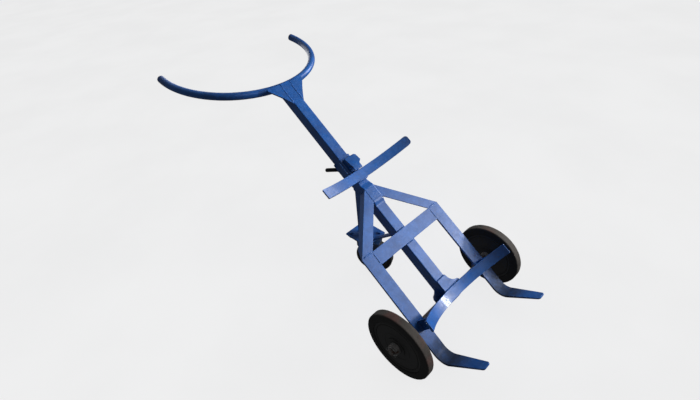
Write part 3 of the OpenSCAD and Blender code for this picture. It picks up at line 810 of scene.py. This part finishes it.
def split_pins():
    """Split pins of doubled wire: an eye behind the axle and legs bent apart in front."""
    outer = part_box("cotter_pins")[1].x
    wire = 0.95 * MM
    eye_offset = 4.5 * MM
    half_length = 12.5 * MM
    eye = 4.2 * MM
    eye_turn, eye_steps = 310, 24
    leg_steps = 12
    bend, bend_steps, bend_step = 9, 7, 1.5 * MM
    mesh = bmesh.new()
    for s in (-1, 1):
        x = s * (outer - eye_offset)
        start = axle.y + half_length
        points = []
        for k in range(eye_steps + 1):
            angle = math.radians(-eye_turn / 2 + eye_turn * k / eye_steps)
            points.append(Vector((x + eye * math.sin(angle),
                                  start + eye * (0.95 + math.cos(angle)), axle.z)))
        tail = []
        for k in range(1, leg_steps + 1):
            run = k / leg_steps
            tail.append(Vector((x + wire, start - 2 * half_length * run, axle.z)))
        for k in range(1, bend_steps + 1):
            turn = math.radians(bend * k)
            last = tail[-1]
            tail.append(last + bend_step * Vector((math.sin(turn), -math.cos(turn), 0)))
        other = [Vector((2 * x - p.x, p.y, p.z)) for p in tail]
        path = other[::-1] + points + tail
        sweep(mesh, path, lambda k, angle: wire, BEAD_SIDES)
    made = piece("split_pins", mesh, "frame", "fastener")
    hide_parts("cotter_pins")


def threads(name, body, centre, axis, radius, length, pitch=1.5 * MM):
    """A threaded end: a fine helical groove and a chamfered tip, from centre along axis."""
    turn = axis.to_track_quat("Z", "Y").to_matrix().to_4x4()
    place = Matrix.Translation(centre) @ turn
    mesh = bmesh.new()
    sides, per_pitch = 36, 8
    crest, depth, chamfer = 0.12 * MM, 0.55 * MM, 0.9 * MM
    count = max(6, round(length / pitch * per_pitch))
    rings = []
    for k in range(count + 1):
        height = length * k / count
        ring = []
        for i in range(sides):
            angle = 2 * math.pi * i / sides
            phase = (height / pitch - i / sides) % 1.0
            groove = 1 - abs(2 * phase - 1)
            reach = radius + crest - depth * groove
            reach = min(reach, radius - chamfer + (length - height))
            ring.append(mesh.verts.new(place @ polar(reach, angle, height)))
        rings.append(ring)
    for near, far in zip(rings, rings[1:]):
        skin(mesh, near, far)
    mesh.faces.new(rings[0][::-1])
    mesh.faces.new(rings[-1])
    return piece(name, mesh, body, "fastener")


def bolt_ends():
    """Threads on the ends of the plate's bolts and the kingpin, below their nuts."""
    bolt_radius, bolt_end, pin_end = 5 * MM, 2.4 * MM, 2 * MM
    low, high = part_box("plate_bolts")
    # from the box's sides to the bolts' axes: a hexagon's corner and its flat
    inset_x = 9.8 * MM
    inset_y = 8.49 * MM
    down = Vector((0, 0, -1))
    corners = [(x, y) for x in (low.x + inset_x, high.x - inset_x)
               for y in (low.y + inset_y, high.y - inset_y)]
    for k, (x, y) in enumerate(corners):
        threads("plate_bolt_end_%d" % (k + 1), "frame", Vector((x, y, low.z + bolt_end)), down,
                bolt_radius, bolt_end)
    low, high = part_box("kingpin")
    centre = (low + high) / 2
    threads("kingpin_end", "frame", Vector((centre.x, centre.y, low.z + pin_end)), down,
            (high.x - low.x) / 2, pin_end)


split_pins()
bolt_ends()


# ---- floor, lights and camera ----

def floor():
    """A plain matt floor that throws no light and no reflection back onto the object."""
    s = Shader("pale_floor")
    darker, paler = (0.790, 0.790, 0.792), (0.815, 0.815, 0.817)
    tone = s.mix(s.ramp(s.noise(1.3, 4.0), 0.3, 0.7), darker, paler)
    s.finish(tone, 0.9, s.bump(s.noise(40.0), 0.05 * MM))
    mesh = bmesh.new()
    bmesh.ops.create_grid(mesh, x_segments=8, y_segments=8, size=30)
    data = bpy.data.meshes.new("floor")
    mesh.to_mesh(data)
    mesh.free()
    data.materials.append(s.material)
    made = put("floor", data)
    made.visible_diffuse = False
    made.visible_glossy = False
    return made


def lamp(name, kind, energy, target, direction, distance, size=1.0, colour=(1, 1, 1)):
    """A light at distance from target, in direction, that shines back at it."""
    data = bpy.data.lights.new(name, kind)
    data.energy = energy
    data.color = colour
    if kind == "AREA":
        data.shape = "DISK"
        data.size = size
    made = put(name, data)
    away = Vector(direction).normalized()
    made.location = Vector(target) + away * distance
    made.rotation_mode = "QUATERNION"
    made.rotation_quaternion = (-away).to_track_quat("-Z", "Y")
    return made


def link_light(light, floor_piece, lights_floor):
    """Keeps a light off the floor, or on the floor only, so that the floor stays plain."""
    group = bpy.data.collections.new(light.name + "_lit")
    group.objects.link(floor_piece)
    light.light_linking.receiver_collection = group
    if not lights_floor:
        group.collection_objects[0].light_linking.link_state = "EXCLUDE"


# The key shapes the object without showing in its gloss. Panel, side and haze are there for
# the gloss alone, and glint is the one small highlight. Top and back fill from above and
# behind, and the wash lights only the floor, without shadows.
stage_floor = floor()
middle = (cad_box[0] + cad_box[1]) / 2
key = lamp("key", "AREA", 100, middle, (0.77, -0.40, 0.51), 3.2, 2.6, (1.0, 0.99, 0.97))
key.visible_glossy = False
panel = lamp("panel", "AREA", 26, axle + Vector((0, 0.10, 0.08)), (0.57, -0.56, 0.61), 3.1, 1.7)
side = lamp("side", "AREA", 27, axle + Vector((-0.2, 0.40, 0.34)), (0.966, 0.03, 0.259), 3.1, 1.2)
glint = lamp("glint", "AREA", 62, axle, (0.796, -0.496, 0.350), 3.1, 0.46)
haze = lamp("haze", "AREA", 8, axle + Vector((0.15, 0.2, 0.15)), (-0.27, -0.59, 0.76), 3.1, 1.6)
top = lamp("top", "AREA", 3, middle, (-0.1, 0.5, 0.85), 3.4, 2.6, (0.95, 0.97, 1.0))
back = lamp("back", "AREA", 22, middle, (0.15, 0.93, 0.16), 3.2, 2.2, (0.97, 0.98, 1.0))
wash = lamp("wash", "SUN", 3.0, middle, (0, 0, 1), 5)
wash.data.use_shadow = False
for light in (panel, side, haze):
    light.visible_diffuse = False
for light in (key, panel, side, glint, haze, top, back):
    link_light(light, stage_floor, False)
link_light(wash, stage_floor, True)

world = bpy.data.worlds.new("soft_room")
world.use_nodes = True
room = world.node_tree.nodes["Background"]
room.inputs["Color"].default_value = (0.96, 0.98, 1.0, 1)
room.inputs["Strength"].default_value = 0.11
bpy.context.scene.world = world

# The camera's place, turn and lens are those the photo's edges and wheel outlines give
camera_data = bpy.data.cameras.new("camera")
camera_data.lens = 21.14
camera_data.sensor_width = 36
camera = put("camera", camera_data)
camera.location = (-0.865, axle.y - 0.510, axle.z + 1.165)
camera.rotation_euler = [math.radians(a) for a in (53.40, 4.62, -44.72)]
bpy.context.scene.camera = camera
bpy.context.scene.view_settings.view_transform = "Standard"
